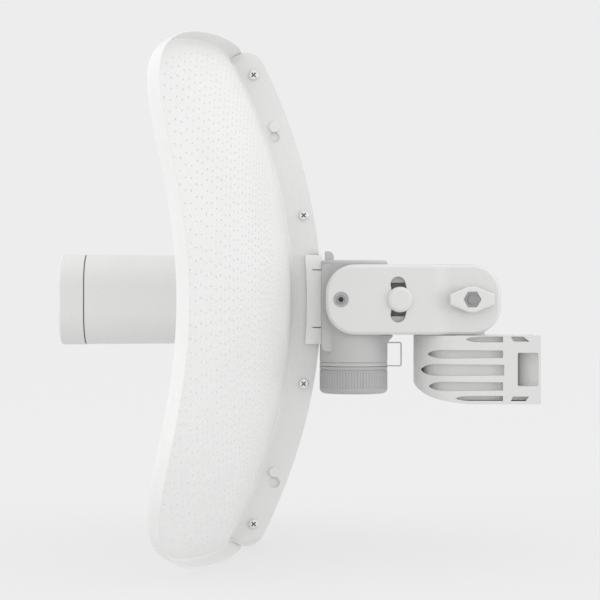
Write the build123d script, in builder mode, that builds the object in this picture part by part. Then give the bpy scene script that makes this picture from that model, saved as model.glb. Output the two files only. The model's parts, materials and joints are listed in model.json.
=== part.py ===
from build123d import *

# Outdoor wireless bridge: a dish in two halves with a rear-fed radio, on a tilting arm and a pole clamp.
# Row frame, millimetres: +Z up, the dish looks along -Y, and the origin is on the pole's axis at mid clamp.
import os
from math import cos, pi, sin, sqrt

os.makedirs("parts", exist_ok=True)

# ---------- driving dimensions ----------
pole_radius = 24.15           # the 48.3 mm pipe that the cradle is made for
boresight_z = 60.0            # height of the dish axis over the middle of the clamp
apex_y = -218.0               # deepest point of the dish's reflecting face
focal_4f = 806.0              # four focal lengths: depth = radius squared / focal_4f
half_width = 259.3            # aperture, centre to side edge
half_height = 209.3           # aperture, centre to top edge
corner_power = 5.1            # exponent of the rounded-rectangle outline
sheet = 1.2                   # dish sheet thickness
rim_depth = 13.25             # turned-back rim, measured square to the dish
seam_gap = 0.05               # half the gap between the two dish halves
fit = 0.05                    # radial clearance of a running fit

flange_depth = 27.0           # centre flange behind the apex
flange_4f = 835.0             # its outer edge's own parabola
flange_thick = 1.9
ear_back, ear_top = -41.0, 214.2      # the flange's end on the rim
ear_end = 205.0               # where the flange's outer edge turns in to the rim
full_ear, scooped_ear = (-31.0, 212.6), (-33.0, 208.9)   # the end's edge on the left and the right half
screw_hole, screw_shank = 2.1, 2.0
screw_head, screw_head_height = 4.3, 2.6
stud_head = 4.6
blade_x, blade_z = 1.2, 23.7   # the feed's flat blade, half thickness and half height
tongue_z = 9.0                # the circuit board's tongue, half height
block_half_x = 22.0           # the housing's block behind the flanges
block_front, block_top, block_bottom = 27.4, 31.0, -44.5
screw_spots = [(-31.5, 194.5), (11.9, 73.0), (11.9, -73.0), (-31.5, -194.5)]
stud_spots = [(-13.7, 149.5), (-13.7, -149.5)]
stud_drop = 9.0               # the keyhole's entry lies this far below its seat

feed_front, cap_seam = -196.6, -174.9
feed_half_front, feed_half_back, feed_corner = 38.4, 37.2, 26.0
wall = 2.5                    # moulded wall

saddle_front, saddle_back = 13.0, 29.6
saddle_half_x, saddle_half_z = 7.5, 38.5
tab_front, tab_back, tab_top = 30.4, 38.0, 41.8

pivot = 43.5                  # tilt axis, behind the apex
tilt_radius = 50.3            # tilt axis to slot bolt
slot_aft = pivot + tilt_radius
tilt_limit = 15.0
slot_width = 12.6
tang_half_z, tang_end = 21.0, 106.0   # the housing's tang that carries the slot bolt
swing = 154.6                 # axis of the arm's joint on the clamp
bolt = 4.0                    # shank radius of the slot bolt and the clamp bolt
hex_flat = 6.5                # half the width across flats of their hexagons

arm_front, arm_back, arm_half_z = 30.6, 180.3, 30.0
arm_inner_x, arm_outer_x = 31.5, 35.0
inside_x = arm_inner_x - 0.3  # half width of what fits between the arm's plates
jog = 3.0                     # the plates step in towards the clamp's lug
jog_start, jog_middle, jog_end = 120.0, 129.0, 139.0
lug_x = inside_x - jog
lug_face = arm_outer_x - jog  # outer face of the arm at the lug
washer_thick = 1.9
wing_base = lug_face + washer_thick + 0.2     # underside of the wing nut, on its washer
wing_half, wing_tip, wing_hub = 18.8, 4.4, 10.9   # half length, half height at the tip and at the hub
rear_chamfer = 2.4            # outer edge of the arm's rear end

barrel, barrel_r = 55.2, 29.4
barrel_top, barrel_lip = 33.9, -57.3
cap_top, cap_bottom = -57.7, -81.2
barrel_groove, cap_groove = -54.1, -60.7      # rings over and under the cap's seam
groove, groove_depth = 1.0, 0.7
neck_r = 24.2                 # threaded neck under the barrel
bail_x, bail_hinge, bail_end = -18.5, 81.8, 97.4
bail_top, bail_low, bail_wire = -37.8, -58.2, 0.65

clamp_front, clamp_back = 107.3, 213.8
clamp_half_x, clamp_half_z = 34.0, 29.2
strap_height = 28.6           # room for a band clamp behind the cradle's wall


def aft(depth):
    """Row Y of a point so far behind the dish's apex."""
    return apex_y + depth


def up(height):
    """Row Z of a point so far over the dish's axis."""
    return boresight_z + height


def save(part, name):
    """Labels a finished piece and writes it as its own STEP file."""
    part.label = name
    export_step(part, f"parts/{name}.step")


def facing_front(depth, x=0.0, z=0.0):
    """Plane square to the dish's axis: local x is X, local y is Z, its normal looks forward."""
    return Plane(origin=(x, aft(depth), up(z)), x_dir=(1, 0, 0), z_dir=(0, -1, 0))


def facing_side(x):
    """Plane square to X: local x is the distance behind the apex, local y the height over the axis."""
    return Plane(origin=(x, apex_y, boresight_z), x_dir=(0, 1, 0), z_dir=(1, 0, 0))


def facing_up(z, depth=0.0, x=0.0):
    """Level plane so far over the axis, centred so far behind the apex."""
    return Plane.XY.offset(up(z)).move(Location((x, aft(depth), 0)))


# ---------- the dish ----------
def outline_point(angle, inset):
    """Point of the rounded-rectangle outline in one direction, as (x, z) from the boresight."""
    across = abs(cos(angle)) / (half_width - inset)
    upward = abs(sin(angle)) / (half_height - inset)
    reach = (across**corner_power + upward**corner_power) ** (-1 / corner_power)
    return reach * cos(angle), reach * sin(angle)


def rim_curve(inset, depth):
    """Curve along the outline of the +X half, so far behind the reflecting face and square to it."""
    points = []
    for i in range(37):
        x, z = outline_point(-pi / 2 + pi * i / 36, inset)
        slope = sqrt(1 + (2 * x / focal_4f) ** 2 + (2 * z / focal_4f) ** 2)
        step = depth / slope
        ahead = -(x * x + z * z) / focal_4f
        points.append((x + step * 2 * x / focal_4f, aft(ahead + step), up(z + step * 2 * z / focal_4f)))
    return Spline(points)


def rim_wall():
    """The turned-back rim of the +X half: four ruled faces between outline curves, closed at X = 0."""
    curves = [rim_curve(0, 0.3), rim_curve(0, rim_depth), rim_curve(sheet, rim_depth), rim_curve(sheet, 0.3)]
    faces = [Face.make_surface_from_curves(curves[i], curves[(i + 1) % 4]) for i in range(4)]
    for end in (0, 1):
        faces.append(Face(Wire.make_polygon([curve @ end for curve in curves], close=True)))
    return Solid(Shell(faces))


def bowl(reach, start, depth):
    """Full turn of the space from `start` to `depth` behind the paraboloid, measured along the axis."""
    with BuildPart() as made:
        with BuildSketch(Plane(origin=(0, apex_y, boresight_z), x_dir=(1, 0, 0), z_dir=(0, 0, 1))):
            with BuildLine():
                edge = -(reach**2) / focal_4f
                Bezier((0, start), (reach / 2, start), (reach, edge + start))
                Line((reach, edge + start), (reach, edge + depth))
                Bezier((reach, edge + depth), (reach / 2, depth), (0, depth))
                Line((0, depth), (0, start))
            make_face()
        revolve(axis=Axis((0, apex_y, boresight_z), (0, 1, 0)))
    return made.part


def flange_outline(corner):
    """Sketch edges of a centre flange; the full corner keeps its ear and the other is scooped."""
    def dish(z):
        return -z * z / focal_4f + 0.6

    def outer(z):
        return flange_depth - z * z / flange_4f

    rim_z = half_height - 0.3
    Bezier((dish(rim_z), -rim_z), (1.2 - dish(rim_z), 0), (dish(rim_z), rim_z))
    Line((dish(rim_z), rim_z), (ear_back, ear_top))
    tip = outer(ear_end)
    Bezier((tip, ear_end), (2 * flange_depth - tip, 0), (tip, -ear_end))
    Line((ear_back, -ear_top), (dish(rim_z), -rim_z))
    middle = full_ear if corner == "full" else scooped_ear
    for side in (1, -1):
        ThreePointArc((ear_back, side * ear_top), (middle[0], side * middle[1]), (tip, side * ear_end))


dish_sheet = bowl(360, 0, sheet)
rim = rim_wall()


def reflector_half(corner):
    """One half on +X: the trimmed bowl, its rim and its centre flange."""
    with BuildPart() as half:
        add(dish_sheet)
        with BuildSketch(facing_front(40)):
            with BuildLine():
                Spline([outline_point(-pi / 2 + pi * i / 36, 0) for i in range(37)])
                Line((0, half_height), (0, -half_height))
            make_face()
        extrude(amount=240, mode=Mode.INTERSECT)
        add(rim)
        with BuildSketch(facing_side(0)):
            with BuildLine():
                flange_outline(corner)
            make_face()
        extrude(amount=flange_thick)
        with BuildSketch(facing_front(40)):
            Rectangle(2 * blade_x + 0.2, 2 * blade_z + 0.4)
        extrude(amount=60, mode=Mode.SUBTRACT)
        with BuildSketch(facing_side(-1)):
            with Locations(*screw_spots):
                Circle(screw_hole)
        extrude(amount=6, mode=Mode.SUBTRACT)
        split(bisect_by=Plane.YZ.offset(seam_gap), keep=Keep.TOP)
    return half


right = reflector_half("scooped")
with BuildPart() as reflector_right:
    add(right.part)
    with BuildSketch(facing_side(-1)):
        for spot, height in stud_spots:
            with Locations((spot, height)):
                SlotCenterToCenter(4.0, 5.0, rotation=90)
            with Locations((spot, height - stud_drop)):
                Circle(4.7)
            with Locations((spot, height - stud_drop / 2)):
                Rectangle(5.0, stud_drop)
    extrude(amount=6, mode=Mode.SUBTRACT)
save(reflector_right.part, "reflector_right")

left = reflector_half("full")
with BuildPart() as reflector_left:
    add(left.part.mirror(Plane.YZ))
    with BuildSketch(facing_side(1)):
        with Locations(*stud_spots):
            Circle(2.0 + fit)
    extrude(amount=-6, mode=Mode.SUBTRACT)
save(reflector_left.part, "reflector_left")


with BuildPart() as flange_screws:
    with BuildSketch(facing_side(flange_thick)):
        with Locations(*screw_spots):
            Circle(screw_head)
    extrude(amount=screw_head_height)
    fillet(flange_screws.edges().group_by(Axis.X)[-1], 1.2)
    with BuildSketch(facing_side(flange_thick + screw_head_height)):
        with Locations(*screw_spots):
            Rectangle(5.0, 1.0, rotation=45)
            Rectangle(1.0, 5.0, rotation=45)
    extrude(amount=-1.4, mode=Mode.SUBTRACT)
    with BuildSketch(facing_side(flange_thick)):
        with Locations(*screw_spots):
            Circle(screw_shank)
    extrude(amount=-2 * flange_thick - 5.0)
save(flange_screws.part, "flange_screws")

with BuildPart() as flange_nuts:
    with BuildSketch(facing_side(-flange_thick)):
        with Locations(*screw_spots):
            RegularPolygon(4.0, 6)
            Circle(screw_shank, mode=Mode.SUBTRACT)
    extrude(amount=-3.2)
save(flange_nuts.part, "flange_nuts")

with BuildPart() as keyhole_studs:
    with BuildSketch(facing_side(-flange_thick - 1.2)):
        with Locations(*stud_spots):
            Circle(3.4)
    extrude(amount=1.2)
    with BuildSketch(facing_side(-flange_thick)):
        with Locations(*stud_spots):
            Circle(2.0)
    extrude(amount=2 * flange_thick + 0.2)
    with BuildSketch(facing_side(flange_thick + 0.1)):
        with Locations(*stud_spots):
            Circle(stud_head)
    extrude(amount=1.8)
    fillet(keyhole_studs.edges().group_by(Axis.X)[-1], 0.7)
save(keyhole_studs.part, "keyhole_studs")


# ---------- the feed, in front of the dish ----------
def tube_half(depth):
    """Half width of the feed tube, which tapers a little towards the dish."""
    return feed_half_back + (feed_half_front - feed_half_back) * depth / cap_seam


def square_tube(front, back, inset):
    """Rounded-square tapering bar between two distances, `inset` inside the tube's skin."""
    with BuildPart() as made:
        for depth in (front, back):
            half = tube_half(depth) - inset
            with BuildSketch(facing_front(depth)):
                RectangleRounded(2 * half, 2 * half, feed_corner - inset)
        loft()
    return made.part


dish_clearance = bowl(70, -0.1, 90)
with BuildPart() as feed_housing:
    add(square_tube(cap_seam + 0.4, 0, 0))
    add(dish_clearance, mode=Mode.SUBTRACT)
    add(square_tube(cap_seam, -6, wall), mode=Mode.SUBTRACT)
    with BuildSketch(facing_front(-8)):
        Rectangle(2 * blade_x, 2 * blade_z)
        Rectangle(2 * blade_x, 2 * tongue_z + 0.4, mode=Mode.SUBTRACT)
    extrude(amount=-37.5)
    with BuildSketch(facing_front(2)):
        Rectangle(3, 2 * tongue_z + 0.4)
    extrude(amount=15, mode=Mode.SUBTRACT)
    for side in (1, -1):
        with BuildSketch(facing_front(-9, z=side * 31)):
            Rectangle(7, 10)
            Rectangle(2.0, 10, mode=Mode.SUBTRACT)
        extrude(amount=150)
save(feed_housing.part, "feed_housing")

with BuildPart() as feed_cap:
    with BuildSketch(facing_front(cap_seam - 0.6)):
        RectangleRounded(2 * feed_half_front + 0.5, 2 * feed_half_front + 0.5, feed_corner)
    extrude(amount=cap_seam - 0.6 - feed_front)
    fillet(feed_cap.edges().group_by(Axis.Y)[0], 2.4)
    with BuildSketch(facing_front(cap_seam - 0.6)):
        RectangleRounded(2 * feed_half_front - 2 * wall, 2 * feed_half_front - 2 * wall, feed_corner - wall)
    extrude(amount=cap_seam - 0.6 - feed_front - wall, mode=Mode.SUBTRACT)
save(feed_cap.part, "feed_cap")

with BuildPart() as feed_seal:
    with BuildSketch(facing_front(cap_seam + 0.4)):
        RectangleRounded(2 * feed_half_front - 1.0, 2 * feed_half_front - 1.0, feed_corner - 0.5)
        inner = 2 * feed_half_front - 2 * wall
        RectangleRounded(inner, inner, feed_corner - wall, mode=Mode.SUBTRACT)
    extrude(amount=1.0)
save(feed_seal.part, "feed_seal")

with BuildPart() as sub_reflector:
    with BuildSketch(facing_front(feed_front + wall + 1.2)):
        Circle(31)
    extrude(amount=1.2)
    with BuildSketch(facing_front(feed_front + wall + 1.2)):
        with PolarLocations(26, 4, 45):
            Circle(2)
    extrude(amount=-13)
save(sub_reflector.part, "sub_reflector")

with BuildPart() as feed_board:
    with BuildSketch(facing_front(feed_front + wall + 15.8)):
        RectangleRounded(62, 62, 16)
    extrude(amount=1.6)
    with BuildSketch(facing_front(feed_front + wall + 14.2)):
        with Locations((0, 12), (0, -12)):
            Rectangle(22, 3)
        with Locations((12, 0), (-12, 0)):
            Rectangle(3, 22)
    extrude(amount=0.4)
save(feed_board.part, "feed_board")

with BuildPart() as radio_board:
    with BuildSketch(facing_side(-0.8)):
        with Locations((-84, 0)):
            Rectangle(150, 64)
        with Locations((15, 0)):
            Rectangle(60, 2 * tongue_z)
    extrude(amount=1.6)
    with BuildSketch(facing_side(0.8)):
        for row in range(4):
            with Locations((-40 - 9 * row, -14)):
                Rectangle(6, 8)
    extrude(amount=1.2)
save(radio_board.part, "radio_board")

with BuildPart() as board_shield:
    with BuildSketch(facing_side(0.8)):
        with Locations((-120, 0)):
            Rectangle(52, 46)
    extrude(amount=4.5)
    with BuildSketch(facing_side(0.8)):
        with Locations((-120, 0)):
            Rectangle(51, 45)
    extrude(amount=4.0, mode=Mode.SUBTRACT)
save(board_shield.part, "board_shield")

# ---------- rear housing: neck, barrel, tilt bosses, tang and port ----------
with BuildPart() as rear_housing:
    with BuildSketch(facing_up(barrel_lip, barrel)):
        Circle(barrel_r)
    extrude(amount=barrel_top - barrel_lip)
    fillet(rear_housing.edges().group_by(Axis.Z)[-1], 2.5)
    with BuildSketch(facing_up(barrel_groove - groove / 2, barrel)):
        Circle(barrel_r + 1)
        Circle(barrel_r - groove_depth, mode=Mode.SUBTRACT)
    extrude(amount=groove, mode=Mode.SUBTRACT)
    with BuildSketch(facing_side(-block_half_x)):
        with Locations(((block_front + barrel) / 2, (block_top + block_bottom) / 2)):
            RectangleRounded(barrel - block_front, block_top - block_bottom, 5)
    extrude(amount=2 * block_half_x)
    with BuildSketch(facing_side(-inside_x)):
        with Locations((pivot, 0)):
            Circle(10)
    extrude(amount=2 * inside_x)
    with BuildSketch(facing_side(-inside_x)):
        with Locations(((tang_end + barrel) / 2, 0)):
            RectangleRounded(tang_end - barrel, 2 * tang_half_z, 5)
    extrude(amount=2 * inside_x)
    for side in (1, -1):
        with BuildSketch(facing_side(side * (inside_x - 9))):
            with Locations((slot_aft - 2, 0)):
                Rectangle(30, 28.8)
            with Locations((slot_aft, 0)):
                Circle(7.5, mode=Mode.SUBTRACT)
        extrude(amount=side * 12, mode=Mode.SUBTRACT)
    with BuildSketch(facing_side(-17)):
        Polygon((barrel, -30.8), (88.4, -30.8), (88.4, -31.8), (84.2, -36.6), (barrel, -36.6), align=None)
    extrude(amount=34)
    with BuildSketch(facing_up(-40, bail_hinge, bail_x)):
        Circle(2.0)
        with Locations((0, -8)):
            Rectangle(4.0, 16)
    extrude(amount=-15.2)
    with BuildSketch(facing_up(-40, bail_hinge, bail_x)):
        Circle(bail_wire + fit)
    extrude(amount=-16, mode=Mode.SUBTRACT)
    with BuildSketch(facing_up(barrel_lip, barrel)):
        Circle(neck_r)
    extrude(amount=-15.5)
    with BuildSketch(facing_up(barrel_lip - 16, barrel)):
        Circle(neck_r - 3)
    extrude(amount=34, mode=Mode.SUBTRACT)
    with BuildSketch(facing_up(-39.6, barrel)):
        Circle(barrel_r - 3)
    extrude(amount=24, mode=Mode.SUBTRACT)
    with BuildSketch(facing_front(20)):
        Rectangle(2 * flange_thick + 0.4, 200)
    extrude(amount=-7.2, mode=Mode.SUBTRACT)
    with BuildSketch(facing_front(20)):
        Rectangle(2 * saddle_half_x + 0.4, 2 * saddle_half_z + 0.4)
    extrude(amount=-9.8, mode=Mode.SUBTRACT)
    with BuildSketch(facing_front(block_front - 1)):
        Rectangle(2 * blade_x + 0.4, 2 * blade_z + 0.6)
    extrude(amount=-20, mode=Mode.SUBTRACT)
    with BuildSketch(facing_up(-30, barrel)):
        Circle(14)
    extrude(amount=52, mode=Mode.SUBTRACT)
    with BuildSketch(facing_side(-inside_x - 1)):
        with Locations((slot_aft, 0)):
            Circle(4.2)
    extrude(amount=2 * inside_x + 2, mode=Mode.SUBTRACT)
    for side in (1, -1):
        with BuildSketch(facing_side(side * (inside_x + 1))):
            with Locations((pivot, 0)):
                Circle(2.5)
        extrude(amount=-side * 13, mode=Mode.SUBTRACT)
    tab_middle = (tab_front + tab_back) / 2
    with BuildSketch(facing_up(11, tab_middle)):
        Rectangle(18.8, tab_back - tab_front + 0.4)
    extrude(amount=40, mode=Mode.SUBTRACT)
save(rear_housing.part, "rear_housing")

with BuildPart() as saddle_bracket:
    with BuildSketch(facing_side(-saddle_half_x)):
        with BuildLine():
            Bezier((saddle_front, saddle_half_z), (saddle_front + 3.4, 0), (saddle_front, -saddle_half_z))
            Line((saddle_front, -saddle_half_z), (saddle_back - 1.8, -saddle_half_z))
            Bezier((saddle_back - 1.8, -saddle_half_z), (saddle_back + 1.8, 0),
                   (saddle_back - 1.8, saddle_half_z))
            Line((saddle_back - 1.8, saddle_half_z), (saddle_front, saddle_half_z))
        make_face()
    extrude(amount=2 * saddle_half_x)
    with BuildSketch(facing_front(5)):
        Rectangle(2 * flange_thick + 0.4, 100)
    extrude(amount=-22.3, mode=Mode.SUBTRACT)
    with BuildSketch(facing_front(5)):
        Rectangle(2 * blade_x + 0.4, 2 * blade_z + 0.6)
    extrude(amount=-30, mode=Mode.SUBTRACT)
    for level in (25.6, -24.2):
        for side in (1, -1):
            with BuildSketch(facing_side(side * (flange_thick + 1.2))):
                with Locations((saddle_back - 5, level)):
                    Rectangle(10.2, 0.9)
            extrude(amount=side * 20, mode=Mode.SUBTRACT)
save(saddle_bracket.part, "saddle_bracket")

with BuildPart() as release_tab:
    with BuildSketch(facing_side(-9)):
        with Locations(((tab_front + tab_back) / 2, (22 + tab_top) / 2)):
            Rectangle(tab_back - tab_front, tab_top - 22)
    extrude(amount=18)
    fillet(release_tab.edges().filter_by(Axis.X).group_by(Axis.Z)[-1].sort_by(Axis.Y)[-1:], 5.0)
    fillet(release_tab.edges().filter_by(Axis.X).group_by(Axis.Z)[-1], 1.0)
save(release_tab.part, "release_tab")

with BuildPart() as release_spring:
    with BuildLine(facing_up(11.6, (tab_front + tab_back) / 2)) as coil:
        Helix(pitch=1.6, height=9.6, radius=2.6)
    with BuildSketch(Plane(origin=coil.line @ 0, z_dir=coil.line % 0)):
        Circle(0.3)
    sweep()
save(release_spring.part, "release_spring")

# ---------- the port under the barrel ----------
with BuildPart() as port_board:
    with BuildSketch(facing_up(-33, barrel)):
        Circle(20.6)
    extrude(amount=-1.6)
save(port_board.part, "port_board")

with BuildPart() as ethernet_jack:
    with BuildSketch(facing_up(-34.6, barrel, -6)):
        Rectangle(16, 16)
    extrude(amount=-21)
    with BuildSketch(facing_up(-55.6, barrel, -6)):
        Rectangle(12, 9)
    extrude(amount=13, mode=Mode.SUBTRACT)
save(ethernet_jack.part, "ethernet_jack")

with BuildPart() as reset_switch:
    with BuildSketch(facing_up(-34.6, barrel, 9)):
        Rectangle(6, 6)
    extrude(amount=-3.6)
save(reset_switch.part, "reset_switch")

with BuildPart() as reset_button:
    with BuildSketch(facing_up(-38.8, barrel, 9)):
        Circle(1.7)
    extrude(amount=-3.0)
save(reset_button.part, "reset_button")

with BuildPart() as port_cap:
    with BuildSketch(facing_up(cap_top, barrel)):
        Circle(barrel_r)
    extrude(amount=cap_bottom - cap_top)
    fillet(port_cap.edges().group_by(Axis.Z)[0], 4.5)
    with BuildSketch(facing_up(cap_groove - groove / 2, barrel)):
        Circle(barrel_r + 1)
        Circle(barrel_r - groove_depth, mode=Mode.SUBTRACT)
    extrude(amount=groove, mode=Mode.SUBTRACT)
    with BuildSketch(facing_up(-62, barrel)):
        with PolarLocations(barrel_r, 72):
            Circle(0.55)
    extrude(amount=-14.5, mode=Mode.SUBTRACT)
    with BuildSketch(facing_up(cap_top + 1, barrel)):
        Circle(neck_r + 0.4)
    extrude(amount=-20.5, mode=Mode.SUBTRACT)
    with BuildSketch(facing_up(cap_bottom - 1, barrel)):
        Circle(6.6)
    extrude(amount=8, mode=Mode.SUBTRACT)
save(port_cap.part, "port_cap")

with BuildPart() as cap_seal:
    with BuildSketch(facing_up(-75.6, barrel)):
        Circle(24)
        Circle(20.6, mode=Mode.SUBTRACT)
    extrude(amount=-1.6)
save(cap_seal.part, "cap_seal")

with BuildPart() as cable_grommet:
    with BuildSketch(facing_up(cap_bottom, barrel)):
        Circle(6.6)
    extrude(amount=4)
    with BuildSketch(facing_up(-77.2, barrel)):
        Circle(8.6)
    extrude(amount=2.4)
    with BuildSketch(facing_up(cap_bottom - 1, barrel)):
        Circle(3.2)
    extrude(amount=9, mode=Mode.SUBTRACT)
save(cable_grommet.part, "cable_grommet")

with BuildPart() as wire_bail:
    with BuildLine(Plane(origin=(bail_x, apex_y, boresight_z), x_dir=(0, 1, 0), z_dir=(1, 0, 0))):
        FilletPolyline((bail_hinge, bail_top - 6), (bail_hinge, bail_top), (bail_end, bail_top),
                       (bail_end, bail_low), (bail_hinge, bail_low), (bail_hinge, bail_low + 6), radius=1.6)
    with BuildSketch(facing_up(bail_top - 6, bail_hinge, bail_x)):
        Circle(bail_wire)
    sweep()
save(wire_bail.part, "wire_bail")

# ---------- the arm and its fasteners ----------
with BuildPart() as arm:
    for side in (1, -1):
        with BuildSketch(facing_up(-arm_half_z)):
            with BuildLine():
                outer = side * arm_outer_x
                inner = side * arm_inner_x
                step = side * jog
                Line((outer, arm_front), (outer, jog_start))
                Bezier((outer, jog_start), (outer, jog_middle),
                       (outer - step, jog_middle), (outer - step, jog_end))
                Line((outer - step, jog_end), (outer - step, arm_back))
                Line((outer - step, arm_back), (inner - step, arm_back))
                Line((inner - step, arm_back), (inner - step, jog_end))
                Bezier((inner - step, jog_end), (inner - step, jog_middle),
                       (inner, jog_middle), (inner, jog_start))
                Line((inner, jog_start), (inner, arm_front))
                Line((inner, arm_front), (outer, arm_front))
            make_face()
        extrude(amount=2 * arm_half_z)
    with BuildSketch(facing_side(-40)):
        with Locations(((arm_front + arm_back) / 2, 0)):
            RectangleRounded(arm_back - arm_front, 2 * arm_half_z, 25)
    extrude(amount=80, mode=Mode.INTERSECT)
    with BuildSketch(facing_side(-arm_inner_x)):
        with Locations((115.5, 0)):
            Rectangle(4.0, 46)
    extrude(amount=2 * arm_inner_x)
    with BuildSketch(facing_side(-40)):
        with BuildLine():
            far = CenterArc((pivot, 0), tilt_radius + slot_width / 2, -tilt_limit, 2 * tilt_limit)
            near = CenterArc((pivot, 0), tilt_radius - slot_width / 2, -tilt_limit, 2 * tilt_limit)
            Line(far @ 0, near @ 0)
            Line(far @ 1, near @ 1)
        make_face()
        with Locations((far @ 0 + near @ 0) / 2, (far @ 1 + near @ 1) / 2):
            Circle(slot_width / 2)
        with Locations((pivot, 0)):
            Circle(3.0)
        with Locations((swing, 0)):
            Circle(bolt + fit)
    extrude(amount=80, mode=Mode.SUBTRACT)
    for side in (1, -1):
        with BuildSketch(facing_side(side * arm_outer_x)):
            with Locations((pivot, 0)):
                Circle(6.3)
        extrude(amount=-side * 2.2, mode=Mode.SUBTRACT)
    rear_edges = arm.edges().filter_by(lambda e: abs(abs(e.center().X) - lug_face) < fit)
    chamfer(rear_edges.filter_by(lambda e: e.center().Y > aft(swing) + 10), rear_chamfer)
save(arm.part, "arm")

with BuildPart() as pivot_screws:
    for side in (1, -1):
        with BuildSketch(facing_side(side * (inside_x + 0.05))):
            with Locations((pivot, 0)):
                Circle(3.0 - fit)
        extrude(amount=side * 1.65)
        with BuildSketch(facing_side(side * (inside_x + 1.7))):
            with Locations((pivot, 0)):
                Circle(4.25)
        extrude(amount=side * 3.0)
        with BuildSketch(facing_side(side * inside_x)):
            with Locations((pivot, 0)):
                Circle(2.5)
        extrude(amount=-side * 11)
        with BuildSketch(facing_side(side * (inside_x + 4.7))):
            with Locations((pivot, 0)):
                RegularPolygon(2.3, 6)
        extrude(amount=-side * 2.2, mode=Mode.SUBTRACT)
save(pivot_screws.part, "pivot_screws")

with BuildPart() as slot_bolt:
    with BuildSketch(facing_side(arm_outer_x + 0.1)):
        with Locations((slot_aft, 0)):
            Circle(10.9)
    extrude(amount=4.2)
    fillet(slot_bolt.edges().group_by(Axis.X)[-1], 3.6)
    with BuildSketch(facing_side(arm_outer_x + 0.1)):
        with Locations((slot_aft, 0)):
            Circle(bolt)
    extrude(amount=-2 * arm_outer_x - 12.5)
save(slot_bolt.part, "slot_bolt")

with BuildPart() as slot_nut:
    with BuildSketch(facing_side(-arm_outer_x - 0.1)):
        with Locations((slot_aft, 0)):
            Circle(9.5)
    extrude(amount=-1.8)
    with BuildSketch(facing_side(-arm_outer_x - 1.9)):
        with Locations((slot_aft, 0)):
            RegularPolygon(hex_flat, 6, major_radius=False)
    extrude(amount=-6.0)
    with BuildSketch(facing_side(-arm_outer_x)):
        with Locations((slot_aft, 0)):
            Circle(bolt + fit)
    extrude(amount=-12, mode=Mode.SUBTRACT)
save(slot_nut.part, "slot_nut")

# ---------- the pole clamp and its bolt ----------
nose = clamp_front + clamp_half_x
pocket_depth, leaf = 6.0, 14.0      # leaf: length of a pocket's pointed end
# front end, back end, level, height and how much the front end widens
pocket_rows = [(150, 181.5, -34.0, 4.9, 0), (118, 181.5, -46.6, 6.4, 0.5), (112.5, 182.5, -60.1, 9.2, 0.5),
               (119, 181.5, -74.0, 7.0, 0.5), (141, 181.5, -84.2, 4.2, 0)]
window_slots = [((188.1, -31.6), (190.5, -35.8), (204.1, -35.8), (198.7, -31.6)),
                ((190.0, -82.6), (188.1, -86.5), (201.2, -86.5), (203.6, -82.6))]
with BuildPart() as pole_clamp:
    with BuildSketch(Plane.XY.offset(-clamp_half_z)):
        with Locations((0, aft((nose + clamp_back) / 2))):
            Rectangle(2 * clamp_half_x, clamp_back - nose)
        with Locations((0, aft(nose))):
            Circle(clamp_half_x)
    extrude(amount=2 * clamp_half_z)
    for side in (1, -1):
        with BuildSketch(facing_side(side * 5)):
            for start, end, level, height, lean in pocket_rows:
                low, high = level - height / 2, level + height / 2
                with BuildLine():
                    Line((end, low), (end, high))
                    Line((end, high), (start + leaf, high + lean))
                    Bezier((start + leaf, high + lean), (start + 3, high + lean), (start, level))
                    Bezier((start, level), (start + 3, low - lean), (start + leaf, low - lean))
                    Line((start + leaf, low - lean), (end, low))
                make_face()
            for corners in window_slots:
                Polygon(*corners, align=None)
        extrude(amount=side * 40, mode=Mode.SUBTRACT)
    core = clamp_half_x - pocket_depth
    with BuildSketch(Plane.XY.offset(-clamp_half_z + 3.5)):
        with Locations((0, aft((nose + clamp_back) / 2))):
            Rectangle(2 * core, clamp_back - nose)
        with Locations((0, aft(nose))):
            Circle(core)
    extrude(amount=2 * clamp_half_z - 4)
    with BuildSketch(facing_side(-50)):
        with BuildLine():
            top, bottom = clamp_half_z - boresight_z, -clamp_half_z - boresight_z
            Line((clamp_front - 1, top + 1), (clamp_front - 1, bottom + 23))
            Bezier((clamp_front - 1, bottom + 23), (clamp_front + 1, bottom + 4.5),
                   (clamp_front + 24, bottom + 2.5), (clamp_front + 44, bottom))
            Line((clamp_front + 44, bottom), (clamp_back + 1, bottom))
            Line((clamp_back + 1, bottom), (clamp_back + 1, top + 1))
            Line((clamp_back + 1, top + 1), (clamp_front - 1, top + 1))
        make_face()
    extrude(amount=100, mode=Mode.INTERSECT)
    with BuildSketch(facing_side(-lug_x)):
        with Locations((swing, 0)):
            Circle(17)
        with Locations((swing, -18)):
            Rectangle(24, 36)
    extrude(amount=2 * lug_x)
    with BuildSketch(facing_side(-50)):
        with Locations((202.8, -59.6)):
            RectangleRounded(17.6, strap_height, 1.5)
    extrude(amount=100, mode=Mode.SUBTRACT)
    with BuildSketch(Plane.XY.offset(-strap_height / 2 + 0.4)):
        Circle(pole_radius + 7)
    extrude(amount=strap_height, mode=Mode.SUBTRACT)
    with BuildSketch(Plane.XY.offset(-clamp_half_z)):
        with Locations((0, aft(clamp_back) - 12.5)):
            Rectangle(2 * pole_radius + 6, 25)
        Circle(pole_radius + 3, mode=Mode.INTERSECT)
    extrude(amount=2 * clamp_half_z)
    with BuildSketch(Plane.XY.offset(-clamp_half_z)):
        Circle(pole_radius)
    extrude(amount=2 * clamp_half_z, mode=Mode.SUBTRACT)
    with BuildSketch(facing_side(-lug_x)):
        with Locations((swing, 0)):
            Circle(bolt)
    extrude(amount=2 * lug_x, mode=Mode.SUBTRACT)
save(pole_clamp.part, "pole_clamp")

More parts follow.
